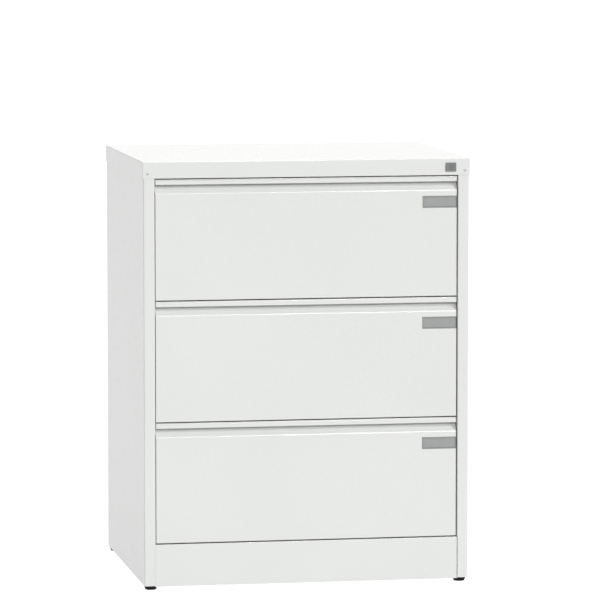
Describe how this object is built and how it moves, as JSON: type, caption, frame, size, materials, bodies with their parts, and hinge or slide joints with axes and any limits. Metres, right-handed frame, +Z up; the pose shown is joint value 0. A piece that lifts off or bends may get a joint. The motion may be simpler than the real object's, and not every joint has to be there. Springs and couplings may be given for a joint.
{
  "type": "lateral filing cabinet",
  "caption": "Wide sheet steel filing cabinet with full-width drawers on telescopic slides, sloped finger grooves, label holders, a central lock and levelling feet.",
  "frame": {"origin": "floor level under the middle of the footprint, with the feet screwed in", "axes": "+X to the right as seen from the front, +Y from the drawer fronts to the back, +Z up"},
  "size_m": [0.803, 0.6615, 1.0385],
  "materials": {
    "paint": "light grey powder coat",
    "zinc_steel": "zinc plated",
    "lock_metal": "dark grey, satin",
    "label_plastic": "grey, matte",
    "label_card": "blank grey card",
    "guide_plastic": "black, matte",
    "foot_plastic": "black, matte"
  },
  "bodies": {
    "carcass": {"left_side_panel": "paint", "right_side_panel": "paint", "back_panel": "paint", "top_cap": "paint", "plinth_panel": "paint", "base_pan": "paint", "front_left_upright": "zinc_steel", "front_right_upright": "zinc_steel", "rear_left_upright": "zinc_steel", "rear_right_upright": "zinc_steel", "left_cap_screw": "paint", "right_cap_screw": "paint", "lock_case": "lock_metal", "lock_nut": "zinc_steel", "lock_bar_lower_guide": "guide_plastic", "lock_bar_upper_guide": "guide_plastic", "front_left_foot_nut": "zinc_steel", "front_right_foot_nut": "zinc_steel", "rear_left_foot_nut": "zinc_steel", "rear_right_foot_nut": "zinc_steel", "top_left_slide_outer": "zinc_steel", "top_right_slide_outer": "zinc_steel", "middle_left_slide_outer": "zinc_steel", "middle_right_slide_outer": "zinc_steel", "bottom_left_slide_outer": "zinc_steel", "bottom_right_slide_outer": "zinc_steel"},
    "top_drawer": {"top_drawer_front": "paint", "top_drawer_box": "paint", "top_drawer_file_rail": "zinc_steel", "top_drawer_label_holder": "label_plastic", "top_drawer_label_card": "label_card", "top_left_slide_inner": "zinc_steel", "top_right_slide_inner": "zinc_steel"},
    "top_slide_middles": {"top_left_slide_middle": "zinc_steel", "top_right_slide_middle": "zinc_steel"},
    "middle_drawer": {"middle_drawer_front": "paint", "middle_drawer_box": "paint", "middle_drawer_file_rail": "zinc_steel", "middle_drawer_label_holder": "label_plastic", "middle_drawer_label_card": "label_card", "middle_left_slide_inner": "zinc_steel", "middle_right_slide_inner": "zinc_steel"},
    "middle_slide_middles": {"middle_left_slide_middle": "zinc_steel", "middle_right_slide_middle": "zinc_steel"},
    "bottom_drawer": {"bottom_drawer_front": "paint", "bottom_drawer_box": "paint", "bottom_drawer_file_rail": "zinc_steel", "bottom_drawer_label_holder": "label_plastic", "bottom_drawer_label_card": "label_card", "bottom_left_slide_inner": "zinc_steel", "bottom_right_slide_inner": "zinc_steel"},
    "bottom_slide_middles": {"bottom_left_slide_middle": "zinc_steel", "bottom_right_slide_middle": "zinc_steel"},
    "lock_bar": {"lock_bar": "zinc_steel"},
    "lock_plug": {"lock_plug": "lock_metal", "lock_cam": "zinc_steel"},
    "front_left_foot": {"front_left_foot": "foot_plastic"},
    "front_right_foot": {"front_right_foot": "foot_plastic"},
    "rear_left_foot": {"rear_left_foot": "foot_plastic"},
    "rear_right_foot": {"rear_right_foot": "foot_plastic"}
  },
  "joints": [
    {"name": "top_drawer_slide", "type": "slide", "parent": "carcass", "child": "top_drawer", "axis": [0, -1, 0], "range_m": [0, 0.58]},
    {"name": "top_middles_slide", "type": "slide", "parent": "carcass", "child": "top_slide_middles", "axis": [0, -1, 0], "range_m": [0, 0.29]},
    {"name": "middle_drawer_slide", "type": "slide", "parent": "carcass", "child": "middle_drawer", "axis": [0, -1, 0], "range_m": [0, 0.58]},
    {"name": "middle_middles_slide", "type": "slide", "parent": "carcass", "child": "middle_slide_middles", "axis": [0, -1, 0], "range_m": [0, 0.29]},
    {"name": "bottom_drawer_slide", "type": "slide", "parent": "carcass", "child": "bottom_drawer", "axis": [0, -1, 0], "range_m": [0, 0.58]},
    {"name": "bottom_middles_slide", "type": "slide", "parent": "carcass", "child": "bottom_slide_middles", "axis": [0, -1, 0], "range_m": [0, 0.29]},
    {"name": "lock_bar_lift", "type": "slide", "parent": "carcass", "child": "lock_bar", "axis": [0, 0, 1], "range_m": [0, 0.01]},
    {"name": "lock_turn", "type": "hinge", "parent": "carcass", "child": "lock_plug", "pos_m": [0.3537, -0.33, 1.0176], "axis": [0, 1, 0], "range_deg": [0, 90]},
    {"name": "front_left_foot_screw", "type": "slide", "parent": "carcass", "child": "front_left_foot", "axis": [0, 0, -1], "range_m": [0, 0.012]},
    {"name": "front_right_foot_screw", "type": "slide", "parent": "carcass", "child": "front_right_foot", "axis": [0, 0, -1], "range_m": [0, 0.012]},
    {"name": "rear_left_foot_screw", "type": "slide", "parent": "carcass", "child": "rear_left_foot", "axis": [0, 0, -1], "range_m": [0, 0.012]},
    {"name": "rear_right_foot_screw", "type": "slide", "parent": "carcass", "child": "rear_right_foot", "axis": [0, 0, -1], "range_m": [0, 0.012]}
  ],
  "couplings": [
    {"joint": "top_middles_slide", "follows": "top_drawer_slide", "ratio": 0.5},
    {"joint": "middle_middles_slide", "follows": "middle_drawer_slide", "ratio": 0.5},
    {"joint": "bottom_middles_slide", "follows": "bottom_drawer_slide", "ratio": 0.5},
    {"joint": "lock_turn", "follows": "lock_bar_lift", "rad_per_m": 157}
  ]
}
